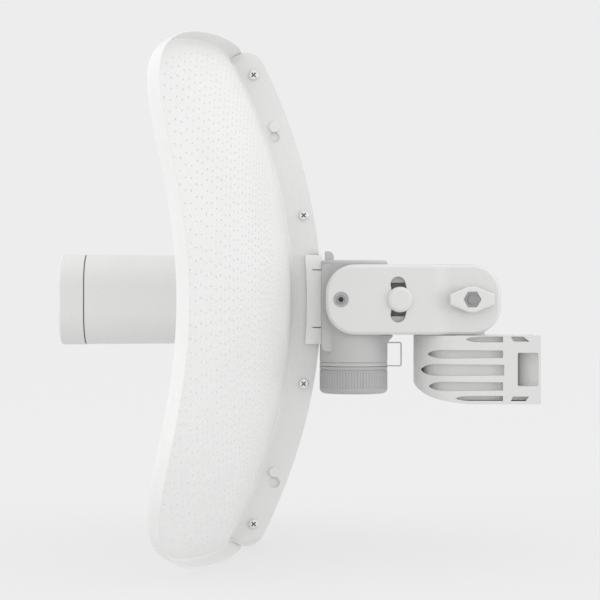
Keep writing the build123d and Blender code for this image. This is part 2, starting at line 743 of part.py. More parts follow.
with BuildPart() as clamp_bolt:
    with BuildSketch(facing_side(-lug_face - 2.0)):
        with Locations((swing, 0)):
            RegularPolygon(hex_flat, 6, major_radius=False)
    extrude(amount=-5.3)
    with BuildSketch(facing_side(-lug_face - 2.0)):
        with Locations((swing, 0)):
            Circle(bolt)
    extrude(amount=2 * lug_face + 14.0)
save(clamp_bolt.part, "clamp_bolt")

with BuildPart() as clamp_washer:
    for side in (1, -1):
        with BuildSketch(facing_side(side * (lug_face + 0.1))):
            with Locations((swing, 0)):
                Circle(9.0)
                Circle(bolt, mode=Mode.SUBTRACT)
        extrude(amount=side * washer_thick)
save(clamp_washer.part, "clamp_washer")

with BuildPart() as wing_nut:
    with BuildSketch(facing_side(wing_base)):
        with Locations((swing, 0)):
            Circle(10.3)
    extrude(amount=7.5)
    with BuildSketch(facing_side(wing_base + 1.1)):
        with Locations((swing, 0)):
            Circle(wing_hub)
            Polygon((-wing_half, wing_tip), (-3, wing_hub), (3, wing_hub), (wing_half, wing_tip),
                    (wing_half, -wing_tip), (3, -wing_hub), (-3, -wing_hub), (-wing_half, -wing_tip), align=None)
    extrude(amount=9.0)
    fillet(wing_nut.edges().group_by(Axis.X)[-1], 1.5)
    with BuildSketch(facing_side(wing_base + 3.4)):
        with Locations((swing, 0)):
            RegularPolygon(hex_flat, 6, major_radius=False)
    extrude(amount=12, mode=Mode.SUBTRACT)
    with BuildSketch(facing_side(wing_base - 0.1)):
        with Locations((swing, 0)):
            Circle(bolt + fit)
    extrude(amount=20, mode=Mode.SUBTRACT)
save(wing_nut.part, "wing_nut")

with BuildPart() as wing_insert:
    with BuildSketch(facing_side(wing_base + 3.4)):
        with Locations((swing, 0)):
            RegularPolygon(hex_flat - fit, 6, major_radius=False)
            Circle(bolt + fit, mode=Mode.SUBTRACT)
    extrude(amount=5.0)
save(wing_insert.part, "wing_insert")
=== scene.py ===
import json
import math

import bmesh
import bpy
import numpy as np
from mathutils import Matrix, Vector
from mathutils.geometry import delaunay_2d_cdt


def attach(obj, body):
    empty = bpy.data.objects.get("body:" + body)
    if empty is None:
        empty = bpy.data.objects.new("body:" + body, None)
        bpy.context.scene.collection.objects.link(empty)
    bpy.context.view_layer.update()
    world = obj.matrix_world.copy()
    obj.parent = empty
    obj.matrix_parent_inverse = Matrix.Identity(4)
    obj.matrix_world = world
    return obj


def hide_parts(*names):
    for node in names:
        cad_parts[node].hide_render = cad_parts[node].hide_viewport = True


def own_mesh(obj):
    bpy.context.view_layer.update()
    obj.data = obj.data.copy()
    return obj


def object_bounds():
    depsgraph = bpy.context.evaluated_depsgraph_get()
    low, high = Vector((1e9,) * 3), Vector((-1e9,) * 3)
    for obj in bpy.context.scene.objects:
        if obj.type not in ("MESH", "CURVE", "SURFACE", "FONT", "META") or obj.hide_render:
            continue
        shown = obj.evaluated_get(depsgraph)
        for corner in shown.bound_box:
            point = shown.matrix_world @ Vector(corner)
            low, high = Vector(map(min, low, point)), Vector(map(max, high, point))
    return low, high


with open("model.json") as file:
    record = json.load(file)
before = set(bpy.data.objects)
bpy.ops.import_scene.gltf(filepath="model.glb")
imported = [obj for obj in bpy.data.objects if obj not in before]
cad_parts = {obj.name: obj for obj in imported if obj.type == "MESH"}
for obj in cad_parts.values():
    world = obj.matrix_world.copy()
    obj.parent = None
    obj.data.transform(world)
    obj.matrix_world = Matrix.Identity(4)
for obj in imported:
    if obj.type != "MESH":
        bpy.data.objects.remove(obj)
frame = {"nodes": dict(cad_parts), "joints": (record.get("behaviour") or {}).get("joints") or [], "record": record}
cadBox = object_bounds()
mm = 0.001                # metres
tiltAft = 43.5            # mm, from the dish's apex back to the tilt axis
tiltJoint = next(j for j in frame["joints"] if j["name"] == "dish_tilt")
pivotY, boresightZ = tiltJoint["pos_m"][1], tiltJoint["pos_m"][2]
apexY = pivotY - tiltAft * mm


def place(x, aft, up):
    # points in metres, from millimetres across, behind the dish's apex and above the boresight
    return np.stack(np.broadcast_arrays(x * mm, apexY + aft * mm, boresightZ + up * mm), -1)


def linked(newObject):
    bpy.context.scene.collection.objects.link(newObject)
    return newObject


def meshPiece(name, points, polys):
    # one object from an (n, 3) array of points and a list of (m, k) arrays of point numbers
    mesh = bpy.data.meshes.new(name)
    loops = np.concatenate([p.ravel() for p in polys]).astype(np.int32)
    sizes = np.concatenate([np.full(len(p), p.shape[1]) for p in polys]).astype(np.int32)
    starts = np.concatenate([[0], np.cumsum(sizes)[:-1]]).astype(np.int32)
    mesh.vertices.add(len(points))
    mesh.vertices.foreach_set("co", np.ascontiguousarray(points, np.float32).ravel())
    mesh.loops.add(len(loops))
    mesh.loops.foreach_set("vertex_index", loops)
    mesh.polygons.add(len(sizes))
    mesh.polygons.foreach_set("loop_start", starts)
    mesh.update(calc_edges=True)
    mesh.validate()
    smoothFaces(mesh)
    return linked(bpy.data.objects.new(name, mesh))


def smoothFaces(mesh):
    mesh.polygons.foreach_set("use_smooth", np.full(len(mesh.polygons), True))


def tidyMesh(piece, weld=2e-6):
    # welds points within the given distance in metres, drops collapsed faces and points the faces outwards
    work = bmesh.new()
    work.from_mesh(piece.data)
    bmesh.ops.remove_doubles(work, verts=work.verts, dist=weld)
    bmesh.ops.dissolve_degenerate(work, dist=weld / 4, edges=work.edges)
    bmesh.ops.recalc_face_normals(work, faces=work.faces)
    work.to_mesh(piece.data)
    work.free()
    return piece


def joinFlats(piece, angle, weld=0.0):
    # welds points if asked, then joins neighbouring faces that lie within the angle of one plane
    work = bmesh.new()
    work.from_mesh(piece.data)
    if weld:
        bmesh.ops.remove_doubles(work, verts=work.verts, dist=weld)
    bmesh.ops.dissolve_limit(work, angle_limit=math.radians(angle), verts=work.verts, edges=work.edges)
    work.to_mesh(piece.data)
    work.free()
    return piece


def gridPolys(rows, columns, closedColumns=False, start=0):
    # quads of a grid whose points are stored row by row
    r = np.arange(rows - 1)
    c = np.arange(columns if closedColumns else columns - 1)
    r, c = np.meshgrid(r, c, indexing="ij")
    nextC = (c + 1) % columns
    here, below = r * columns, (r + 1) * columns
    quads = np.stack([here + c, here + nextC, below + nextC, below + c], -1)
    return quads.reshape(-1, 4) + start


def gridPiece(name, points, closedColumns=False, caps=False):
    # a surface from a (rows, columns, 3) grid; caps close its first and last rows
    rows, columns = points.shape[:2]
    polys = [gridPolys(rows, columns, closedColumns)]
    if caps:
        polys.append(np.arange(columns)[None, ::-1])
        polys.append((rows - 1) * columns + np.arange(columns)[None, :])
    return tidyMesh(meshPiece(name, points.reshape(-1, 3), polys))


def joinPieces(name, pieces):
    bpy.ops.object.select_all(action="DESELECT")
    for piece in pieces:
        piece.select_set(True)
    bpy.context.view_layer.objects.active = pieces[0]
    bpy.ops.object.join()
    pieces[0].name = name
    return pieces[0]


def mirrored(piece, name):
    # the same piece on the other side of the middle plane, with its faces turned back outwards
    copy = linked(bpy.data.objects.new(name, piece.data.copy()))
    copy.data.transform(Matrix.Diagonal((-1, 1, 1, 1)))
    copy.data.flip_normals()
    return copy


def mirroredSwap(piece):
    # the mirrored piece in place of the one given
    copy = mirrored(piece, piece.name + "Left")
    bpy.data.objects.remove(piece)
    return copy


# cuts across an edge, the least angle of an edge, then the weld in metres and the angle that counts as flat
rounding = {"segments": 2, "sharperThan": 32, "weld": 1e-6, "flatWithin": 0.6}


def finishPiece(piece, material, body, nodes, edge=0.0, clamped=False):
    # rounds the edges (radius in mm), gives the finish, and rides on its body in place of the CAD nodes
    if edge:
        bevel = piece.modifiers.new("edges", "BEVEL")
        bevel.width, bevel.segments = edge * mm, rounding["segments"]
        bevel.limit_method = "ANGLE"
        bevel.angle_limit = math.radians(rounding["sharperThan"])
        bevel.use_clamp_overlap = clamped
        bevel.harden_normals = False
        weighted = piece.modifiers.new("shading", "WEIGHTED_NORMAL")
        weighted.keep_sharp = True
    piece.data.materials.clear()
    piece.data.materials.append(materials[material])
    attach(piece, body)
    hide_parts(*nodes)
    return piece


def softened(node, material, body, edge, clamped):
    # a CAD piece with its triangles welded, its flat faces joined and its edges rounded
    piece = linked(bpy.data.objects.new(node + "_soft", frame["nodes"][node].data.copy()))
    joinFlats(piece, rounding["flatWithin"], rounding["weld"])
    smoothFaces(piece.data)
    return finishPiece(piece, material, body, [node], edge, clamped)


def paintRecessShade(piece, spots, radius, low, high):
    # marks the faces inside the given rounds, between two distances from the middle plane (all in mm), where the
    # material paints shade
    faces = piece.data.polygons
    centres = np.zeros(3 * len(faces), np.float32)
    faces.foreach_get("center", centres)
    x, y, z = centres.astype(float).reshape(-1, 3).T
    across, aft, up = np.abs(x / mm), (y - apexY) / mm, (z - boresightZ) / mm
    near = np.any([np.hypot(aft - spot[0], up - spot[1]) < radius for spot in spots], axis=0)
    inside = near & (low < across) & (across < high)
    layer = piece.data.attributes.new("recess_shade", "FLOAT", "FACE")
    layer.data.foreach_set("value", inside.astype(np.float32))


materials = {}
surface = {
    "spread": 0.03, "speckDepth": 1.6, "wear": 0.06,    # tone: clouds, specks against the clouds, paler edges
    "recessShadeTone": 0.16,                                 # painted shade in the screws' drives, against the rest of the head
    "cloudScale": 9, "speckScale": 0.35,                # per metre, and against the grain's scale
    "smudge": 0.06, "smudgeScale": 26, "grainGloss": 0.02,    # how much the roughness varies
}


def newMaterial(name, slot, colour, rough, grain, grainScale, bump, metal):
    # moulded or plated surface: cloudy tone, fine specks, paler edges, painted shade in marked recesses, uneven
    # gloss and fine grain
    material = bpy.data.materials.new(name)
    material.use_nodes = True
    nodes, links = material.node_tree.nodes, material.node_tree.links
    shader = nodes["Principled BSDF"]
    shader.inputs["Metallic"].default_value = metal
    where = nodes.new("ShaderNodeTexCoord").outputs["Object"]

    def noise(scale, detail, roughness=0.5):
        node = nodes.new("ShaderNodeTexNoise")
        node.inputs["Scale"].default_value = scale
        node.inputs["Detail"].default_value = detail
        node.inputs["Roughness"].default_value = roughness
        links.new(where, node.inputs["Vector"])
        return node.outputs["Fac"]

    def ramp(source, low, high):
        node = nodes.new("ShaderNodeMapRange")
        node.inputs["From Min"].default_value = 0.3
        node.inputs["From Max"].default_value = 0.7
        node.inputs["To Min"].default_value = low
        node.inputs["To Max"].default_value = high
        links.new(source, node.inputs["Value"])
        return node.outputs["Result"]

    def mix(factor, first, second):
        node = nodes.new("ShaderNodeMix")
        node.data_type = "RGBA"
        for socket, value in (("Factor", factor), ("A", first), ("B", second)):
            target = next(s for s in node.inputs if s.name == socket and s.enabled)
            if isinstance(value, tuple):
                target.default_value = value
            else:
                links.new(value, target)
        return next(s for s in node.outputs if s.enabled)

    def shade(share):
        return tuple(min(1.0, v * share) for v in colour) + (1.0,)

    spread, wear = surface["spread"], surface["wear"]
    clouds = ramp(noise(surface["cloudScale"], 3), 0.0, 1.0)
    tone = mix(clouds, shade(1 - spread), shade(1 + spread))
    specks = ramp(noise(grainScale * surface["speckScale"], 2), 0.0, 0.5)
    speckled = mix(specks, tone, shade(1 - spread * surface["speckDepth"]))
    edges = nodes.new("ShaderNodeNewGeometry").outputs["Pointiness"]
    worn = mix(ramp(edges, 0.0, wear * 2), speckled, shade(1 + wear))
    # painted shade: faces marked as recesses take a far darker colour
    recessShadeMask = nodes.new("ShaderNodeAttribute")
    recessShadeMask.attribute_name = "recess_shade"
    sunk = mix(recessShadeMask.outputs["Fac"], worn, shade(surface["recessShadeTone"]))
    links.new(sunk, shader.inputs["Base Color"])

    gloss = nodes.new("ShaderNodeMath")
    gloss.operation = "ADD"
    smudges = ramp(noise(surface["smudgeScale"], 4), rough - surface["smudge"], rough + surface["smudge"])
    links.new(smudges, gloss.inputs[0])
    links.new(ramp(noise(grainScale, 2), -surface["grainGloss"], surface["grainGloss"]), gloss.inputs[1])
    links.new(gloss.outputs[0], shader.inputs["Roughness"])

    bumpNode = nodes.new("ShaderNodeBump")
    bumpNode.inputs["Strength"].default_value = grain
    bumpNode.inputs["Distance"].default_value = bump
    links.new(noise(grainScale, 3, 0.6), bumpNode.inputs["Height"])
    links.new(bumpNode.outputs["Normal"], shader.inputs["Normal"])
    materials[name] = material


finishes = {
    # name: slot, colour, roughness, grain's strength, grain's scale, grain's height in metres, metal
    "powderCoat": ("white_coat", (0.78, 0.78, 0.775), 0.46, 0.25, 900, 0.0002, 0.0),
    "feedShell": ("white_shell", (0.70, 0.70, 0.695), 0.42, 0.2, 2400, 0.0001, 0.0),
    # painted shade: the white shell darkened for the housing's shade behind the dish and under the arm
    "housingShellShaded": ("white_shell", (0.52, 0.52, 0.517), 0.5, 0.35, 2200, 0.00015, 0.0),
    # painted light: the white shell made paler for the saddle, which sits in shade between the dish and the arm
    "saddleShellLit": ("white_shell", (0.86, 0.86, 0.855), 0.5, 0.3, 2200, 0.00012, 0.0),
    # darker steel that also stands in for painted shade on screws in counterbores and on inside parts
    "steelAndShade": ("zinc", (0.34, 0.34, 0.34), 0.34, 0.3, 1500, 0.0001, 1.0),
    "armShell": ("arm_shell", (0.72, 0.72, 0.715), 0.5, 0.35, 2200, 0.00015, 0.0),
    "clampShell": ("clamp_shell", (0.71, 0.71, 0.705), 0.52, 0.4, 2000, 0.00015, 0.0),
    "capShell": ("cap_shell", (0.46, 0.46, 0.46), 0.5, 0.35, 2200, 0.00015, 0.0),
    # painted shade: the release tab made grey for the shadow it sits in behind the nearer parts
    "tabShadedGrey": ("tab_grey", (0.55, 0.55, 0.555), 0.5, 0.35, 2200, 0.00015, 0.0),
    "sealRubber": ("seal", (0.16, 0.16, 0.165), 0.75, 0.4, 1800, 0.0002, 0.0),
    "zincPlate": ("zinc", (0.80, 0.80, 0.80), 0.30, 0.3, 1500, 0.0001, 1.0),
    "stainlessWire": ("stainless", (0.72, 0.72, 0.72), 0.24, 0.2, 1500, 0.00005, 1.0),
    "solderMask": ("board", (0.02, 0.13, 0.05), 0.35, 0.2, 1200, 0.00005, 0.0),
    "tinPlate": ("tinplate", (0.66, 0.66, 0.64), 0.3, 0.2, 900, 0.00005, 1.0),
    "millAluminium": ("reflector_metal", (0.80, 0.80, 0.81), 0.35, 0.2, 900, 0.00005, 1.0),
    "jackBlack": ("jack_black", (0.03, 0.03, 0.03), 0.45, 0.3, 1800, 0.0001, 0.0),
    "buttonGrey": ("button_grey", (0.42, 0.43, 0.44), 0.5, 0.3, 1800, 0.0001, 0.0),
}
for finishName, finish in finishes.items():
    newMaterial(finishName, *finish)
print("materials ready")

# a slot's usual finish, the white shell's being the housing's painted shade; the feed, the saddle (painted paler)
# and some screws (painted darker) have their own
materialOf = {"white_coat": "powderCoat", "white_shell": "housingShellShaded", "arm_shell": "armShell",
              "clamp_shell": "clampShell", "cap_shell": "capShell", "tab_grey": "tabShadedGrey",
              "seal": "sealRubber", "zinc": "zincPlate", "stainless": "stainlessWire",
              "board": "solderMask", "tinplate": "tinPlate", "reflector_metal": "millAluminium",
              "jack_black": "jackBlack", "button_grey": "buttonGrey"}
for part in frame["record"]["subparts"]:
    node = frame["nodes"][part["node"]]
    node.data.materials.clear()
    node.data.materials.append(materials[materialOf[part["material_slot"]]])

dish = {
    "focal4f": 806.0,        # mm, depth = radius squared / focal4f
    "halfWidth": 259.3, "halfHeight": 209.3, "cornerPower": 5.1,
    "sheet": 1.2, "bend": 2.6, "rimDepth": 13.25, "lip": 0.44,
    "firstRow": 1.8, "ringPitch": 6.3, "cells": 75,
    "holdWithin": 0.9,                          # a row nearer to the bend than this would leave slivers
    "holeRadius": 0.95, "holeShare": 0.3,       # the most of a narrow cell that its hole may take
    "stagger": 0.11, "margin": 5.0, "plainMiddle": 9.0, "plainCentre": 56.0,
    "seamGap": 0.06, "bladeGap": 1.3, "bladeHeight": 25.0,      # the feed's flat blade lies in the gap
    "sharpAngle": 38,
}
# the eight grid points round a cell, in order
cellBorder = [(0, 0), (0, 1), (0, 2), (1, 2), (2, 2), (2, 1), (2, 0), (1, 0)]


def bowlDepth(x, z):
    # minus the square of the distance from the axis, over four focal lengths
    return -(x * x + z * z) / dish["focal4f"]


def bowlNormal(x, z):
    # unit normal of the paraboloid, pointing behind the dish
    n = np.stack(np.broadcast_arrays(2 * x / dish["focal4f"], 1.0, 2 * z / dish["focal4f"]), -1)
    return n / np.linalg.norm(n, axis=-1, keepdims=True)


def outlineRadius(angle):
    # superellipse: the powers of x over the half width and z over the half height add up to one
    across = np.abs(np.cos(angle)) / dish["halfWidth"]
    upward = np.abs(np.sin(angle)) / dish["halfHeight"]
    return (across ** dish["cornerPower"] + upward ** dish["cornerPower"]) ** (-1 / dish["cornerPower"])


def outlineFrame(angle):
    # points along the outline, the sheet's normal there, and the direction out of the outline along the sheet
    edge = outlineRadius(angle)
    x, z = edge * np.cos(angle), edge * np.sin(angle)
    normal = bowlNormal(x, z)
    fine = np.linspace(-math.pi / 2 - 0.01, math.pi / 2 + 0.01, 4 * len(angle))
    alongX = np.interp(angle, fine, np.gradient(outlineRadius(fine) * np.cos(fine)))
    alongZ = np.interp(angle, fine, np.gradient(outlineRadius(fine) * np.sin(fine)))
    tangent = np.stack([alongX, -2 * (x * alongX + z * alongZ) / dish["focal4f"], alongZ], -1)
    outward = np.cross(normal, tangent)
    outward /= np.linalg.norm(outward, axis=-1, keepdims=True)
    outward *= np.sign((outward * np.stack([x, 0 * x, z], -1)).sum(-1))[:, None]
    return np.stack([x, bowlDepth(x, z), z], -1), normal, outward


def sheetRows(angle, start, normal):
    # polar rows of the paraboloid, two to a ring of cells, held at the bend's start once they reach it,
    # and the same rows one sheet thickness behind them
    startX, startZ = start[:, 0], start[:, 2]
    startRadius = np.hypot(startX, startZ)
    rows = 2 * int(math.ceil((startRadius.max() - dish["firstRow"]) / dish["ringPitch"])) + 1
    radius = dish["firstRow"] + np.arange(rows)[:, None] * dish["ringPitch"] / 2
    held = radius >= startRadius[None, :] - dish["holdWithin"]
    x = np.where(held, startX, radius * np.cos(angle))
    z = np.where(held, startZ, radius * np.sin(angle))
    face = np.stack([x, bowlDepth(x, z), z], -1)
    back = face + dish["sheet"] * bowlNormal(x, z)
    face[-1], back[-1] = start, start + dish["sheet"] * normal
    return face, back


def rimRows(edgePoint, start, normal, outward):
    # a quarter turn about the bend's centre, a straight wall along the normal, then one row that rounds the lip
    turns = np.radians([15, 30, 45, 60, 75, 90])
    centre = start + dish["bend"] * normal
    innerEdge = edgePoint - dish["sheet"] * outward
    wallHeight = dish["rimDepth"] - dish["bend"]
    middle = (edgePoint + innerEdge) / 2 + dish["rimDepth"] * normal

    def side(bendRadius, wallFoot, lipShift):
        bent = [centre + bendRadius * (math.sin(t) * outward - math.cos(t) * normal) for t in turns]
        wall = [wallFoot + (dish["bend"] + wallHeight * share) * normal for share in (0.35, 0.7, 0.955)]
        return np.array(bent + wall + [middle + lipShift * outward])

    outer = side(dish["bend"], edgePoint, dish["lip"] / 2)
    inner = side(dish["bend"] - dish["sheet"], innerEdge, -dish["lip"] / 2)
    return outer, inner


def perforation(rows, angle, startRadius):
    # cells two grid steps wide; one inside the margins has a round hole, as eight points about its middle
    r, c = np.meshgrid(np.arange(0, rows - 2, 2), np.arange(0, len(angle) - 2, 2), indexing="ij")
    r, c = r.ravel(), c.ravel()
    step = angle[2] - angle[0]
    top = dish["firstRow"] + (r + 2) * dish["ringPitch"] / 2
    middle = dish["firstRow"] + (r + 1) * dish["ringPitch"] / 2
    holeAngle = angle[c + 1] + np.where((r // 2) % 2 == 0, 1, -1) * dish["stagger"] * step
    room = np.minimum(startRadius[c], startRadius[c + 2]) - dish["margin"]
    besideFlange = middle * np.cos(holeAngle) <= dish["plainMiddle"]
    holed = (top < room) & ~besideFlange & (middle > dish["plainCentre"])
    spoke = np.array([math.atan2(dr - 1, dc - 1) for dr, dc in cellBorder])
    size = np.minimum(dish["holeRadius"], dish["holeShare"] * middle[holed] * step)[:, None]
    holeRadius = middle[holed][:, None] + size * np.sin(spoke)
    around = holeAngle[holed][:, None] + size * np.cos(spoke) / middle[holed][:, None]
    return r, c, holed, holeRadius * np.cos(around), holeRadius * np.sin(around)


def perforatedHalf(name):
    # Two matching grids, the reflecting face and the back of the sheet, that go on into the bend and the rim.
    # A holed cell's faces run from its eight border points to the hole's eight; the others are plain quads.
    columns = 2 * dish["cells"] + 1
    angle = np.linspace(-math.pi / 2, math.pi / 2, columns)
    edgePoint, normal, outward = outlineFrame(angle)
    start = edgePoint - dish["bend"] * outward
    face, back = sheetRows(angle, start, normal)
    outer, inner = rimRows(edgePoint, start, normal, outward)
    rows = len(face)
    r, c, holed, holeX, holeZ = perforation(rows, angle, np.hypot(start[:, 0], start[:, 2]))
    face, back = np.concatenate([face, outer]), np.concatenate([back, inner])
    allRows = len(face)
    count = allRows * columns

    holeFace = np.stack([holeX, bowlDepth(holeX, holeZ), holeZ], -1)
    holeBack = holeFace + dish["sheet"] * bowlNormal(holeX, holeZ)
    holes = len(holeX)
    faceRing = 2 * count + np.arange(holes * 8).reshape(holes, 8)
    backRing = faceRing + holes * 8
    follow = np.roll(np.arange(8), -1)

    def corner(dr, dc, keep):
        return (r[keep] + dr) * columns + c[keep] + dc

    def quads(a, b, flip):
        q = np.stack([a, a[:, follow], b[:, follow], b], -1).reshape(-1, 4)
        return q[:, ::-1] if flip else q

    border = np.stack([corner(dr, dc, holed) for dr, dc in cellBorder], -1)
    polys = [quads(border, faceRing, False), quads(border + count, backRing, True),
             quads(faceRing, backRing, False)]
    for dr, dc in ((0, 0), (0, 1), (1, 0), (1, 1)):
        square = ((dr, dc), (dr, dc + 1), (dr + 1, dc + 1), (dr + 1, dc))
        q = np.stack([corner(down, right, ~holed) for down, right in square], -1)
        polys += [q, q[:, ::-1] + count]
    rim = gridPolys(allRows - rows + 1, columns, start=(rows - 1) * columns)
    polys += [rim, rim[:, ::-1] + count]
    openLines = [np.arange(columns), (allRows - 1) * columns + np.arange(columns),
                 np.arange(allRows) * columns, np.arange(allRows) * columns + columns - 1]
    for line in openLines:
        polys.append(np.stack([line[:-1], line[1:], line[1:] + count, line[:-1] + count], -1))

    points = np.concatenate([p.reshape(-1, 3) for p in (face, back, holeFace, holeBack)])
    gap = np.where(np.abs(points[:, 2]) < dish["bladeHeight"], dish["bladeGap"], dish["seamGap"])
    points[:, 0] = np.maximum(points[:, 0], gap)
    piece = meshPiece(name, place(points[:, 0], points[:, 1], points[:, 2]), polys)
    return tidyMesh(piece, weld=4e-6)


flange = {
    "depth": 27.0, "outer4f": 835.0, "thick": 1.9, "fillet": 2.6,
    "sunk": 0.5,             # how far the plate and the cove reach into the sheet
    "frontEnd": 208.6, "earEnd": 205.0, "earBack": -41.0, "earTop": 214.0,
    "fullEar": (-31.0, 212.6), "scoopedEar": (-33.0, 208.9),
    "screwHole": 2.1, "screws": [(-31.5, 194.5), (11.9, 73.0), (11.9, -73.0), (-31.5, -194.5)],
    "studs": [(-13.7, 149.5), (-13.7, -149.5)], "seat": 2.0, "entry": 4.7, "drop": 9.0,
}


def arcPoints(cx, cy, radius, start, end, count):
    t = np.radians(np.linspace(start, end, count))
    return np.stack([cx + radius * np.cos(t), cy + radius * np.sin(t)], -1)


def insideLoop(points, loop):
    # a point is inside a closed loop when a level line from it crosses the loop an odd number of times
    x, y = points[:, 0][:, None], points[:, 1][:, None]
    x0, y0 = loop[:, 0], loop[:, 1]
    x1, y1 = np.roll(x0, -1), np.roll(y0, -1)
    rise = np.where(y1 == y0, 1e-9, y1 - y0)
    crosses = ((y0 > y) != (y1 > y)) & (x < (x1 - x0) * (y - y0) / rise + x0)
    return crosses.sum(1) % 2 == 1


def platePiece(name, outline, holes, near, far):
    # a flat plate square to X between two x values, from an outline and holes of (aft, up) points in mm
    loops = [np.asarray(outline)] + [np.asarray(h) for h in holes]
    flat = np.concatenate(loops)
    edges, at = [], 0
    for loop in loops:
        n = len(loop)
        edges += [(at + i, at + (i + 1) % n) for i in range(n)]
        at += n
    result = delaunay_2d_cdt([Vector(p) for p in flat], edges, [], 0, 1e-5)
    verts = np.array([tuple(v) for v in result[0]])
    centres = np.array([verts[list(f)].mean(0) for f in result[2]])
    inside = insideLoop(centres, loops[0])
    for loop in loops[1:]:
        inside &= ~insideLoop(centres, loop)
    tris = np.array([f for f, keep in zip(result[2], inside) if keep])
    count = len(verts)
    pairs = np.sort(np.concatenate([tris[:, [0, 1]], tris[:, [1, 2]], tris[:, [2, 0]]]), axis=1)
    unique, times = np.unique(pairs, axis=0, return_counts=True)
    rim = unique[times == 1]
    walls = np.stack([rim[:, 0], rim[:, 1], rim[:, 1] + count, rim[:, 0] + count], -1)
    points = np.concatenate([place(x, verts[:, 0], verts[:, 1]) for x in (near, far)])
    piece = tidyMesh(meshPiece(name, points, [tris, tris[:, ::-1] + count, walls]))
    return joinFlats(piece, 0.5)


def flangeLoop(ear):
    # a parabola behind, the sheet's own in front, and at each end a curve through the ear's middle point
    end = flange["earEnd"]
    z = np.linspace(-end, end, 83)
    outer = np.stack([flange["depth"] - z ** 2 / flange["outer4f"], z], -1)
    front = np.linspace(flange["frontEnd"], -flange["frontEnd"], 84)
    inner = np.stack([bowlDepth(0, front) + flange["sunk"], front], -1)
    a, b, c = outer[-1], np.array(ear), np.array((flange["earBack"], flange["earTop"]))
    s = np.linspace(0, 1, 11)[1:, None]
    corner = (1 - s) ** 2 * a + 2 * s * (1 - s) * (2 * b - (a + c) / 2) + s ** 2 * c
    return np.concatenate([outer, corner, inner, corner[::-1] * np.array([1, -1])])


def keyhole(spot, height):
    # an upright slot of the seat's width running into the larger round entry below it
    half = math.degrees(math.asin(flange["seat"] / flange["entry"]))
    below = arcPoints(spot, height - flange["drop"], flange["entry"], 90 + half, 450 - half, 29)
    above = arcPoints(spot, height, flange["seat"], 0, 180, 13)
    return np.concatenate([below, above])


def filletStrip(name):
    # the cove from a flange's face to the back of the sheet: a quarter arc and its corner, along the seam
    z = np.linspace(-flange["earEnd"], flange["earEnd"], 121)[:, None]
    size, sunk = flange["fillet"], flange["sunk"]
    turn = np.radians(np.linspace(0, 90, 7))[None, :]
    across = flange["thick"] + size * (1 - np.sin(turn))
    back = bowlDepth(0, z) + dish["sheet"] + size * (1 - np.cos(turn))
    ones = np.ones_like(z)
    within, beyond = flange["thick"] - sunk, flange["thick"] + size
    across = np.concatenate([across * ones, within * ones, beyond * ones], 1)
    back = np.concatenate([back, back[:, :1] - sunk, back[:, :1] - sunk], 1)
    return gridPiece(name, place(across, back, z * np.ones_like(across)), closedColumns=True, caps=True)


def flangePlate(ear, holes):
    # the plate on the right half, its inner face kept clear of the feed's blade at mid height
    plate = platePiece("plate", flangeLoop(ear), holes, dish["seamGap"], flange["thick"])
    flat = np.zeros(3 * len(plate.data.vertices), np.float32)
    plate.data.vertices.foreach_get("co", flat)
    points = flat.astype(float).reshape(-1, 3)
    innerFace = points[:, 0] < flange["thick"] / 2 * mm
    byBlade = np.abs(points[:, 2] - boresightZ) < dish["bladeHeight"] * mm
    points[innerFace & byBlade, 0] = dish["bladeGap"] * mm
    plate.data.vertices.foreach_set("co", points.astype(np.float32).ravel())
    return plate


def buildReflectors():
    sheet = perforatedHalf("reflector_sheet")
    screwHoles = [arcPoints(a, b, flange["screwHole"], 0, 345, 24) for a, b in flange["screws"]]
    keyholes = [keyhole(*spot) for spot in flange["studs"]]
    right = [sheet, flangePlate(flange["scoopedEar"], screwHoles + keyholes), filletStrip("cove")]
    left = [mirrored(sheet, "sheetLeft"), mirroredSwap(flangePlate(flange["fullEar"], screwHoles)),
            mirroredSwap(filletStrip("coveLeft"))]
    halves = (("reflectorRight", right, "reflector_right"), ("reflectorLeft", left, "reflector_left"))
    for name, pieces, node in halves:
        whole = joinPieces(name, pieces)
        finishPiece(whole, "powderCoat", "head", [node])
        whole.data.set_sharp_from_angle(angle=math.radians(dish["sharpAngle"]))


buildReflectors()
print("dish halves built")

moulded = {
    # node: (material, body, edge radius in mm)
    "feed_housing": ("feedShell", "head", 0.25), "feed_cap": ("feedShell", "head", 0.3),
    "rear_housing": ("housingShellShaded", "head", 0.5), "saddle_bracket": ("saddleShellLit", "head", 0.3),
    "release_tab": ("tabShadedGrey", "tab", 0.4), "port_cap": ("capShell", "cap", 0.15),
    "arm": ("armShell", "arm", 0.7), "pole_clamp": ("clampShell", "clamp", 0.6),
    "wing_nut": ("armShell", "wing", 0.4), "slot_bolt": ("armShell", "head", 0.3),
    "flange_screws": ("zincPlate", "head", 0.12), "keyhole_studs": ("powderCoat", "head", 0.15),
    "pivot_screws": ("steelAndShade", "head", 0.15), "wing_insert": ("steelAndShade", "wing", 0.15),
    "clamp_washer": ("zincPlate", "clamp", 0.15), "clamp_bolt": ("steelAndShade", "clamp", 0.2),
    "slot_nut": ("zincPlate", "lock_nut", 0.2), "flange_nuts": ("zincPlate", "head", 0.15),
}
narrowEdged = ("pole_clamp", "rear_housing")      # faces so narrow that the rounding is held back there
# screw drives whose faces get painted shade
driveRecesses = {
    # node: (places of the screws, radius, nearest and farthest from the middle plane), in mm
    "flange_screws": (flange["screws"], 2.8, 2.9, 4.42),
    "pivot_screws": ([(tiltAft, 0)], 2.5, 33.0, 35.8),
}
softPieces = {}
for nodeName, (material, body, edge) in moulded.items():
    softPieces[nodeName] = softened(nodeName, material, body, edge, nodeName in narrowEdged)
for nodeName, recess_shade in driveRecesses.items():
    paintRecessShade(softPieces[nodeName], *recess_shade)
print("moulded pieces and fasteners rounded")

spring = {"aft": 34.2, "foot": 11.3, "height": 9.9, "pitch": 1.6, "coil": 2.6, "wire": 0.3, "travel": 4.0}


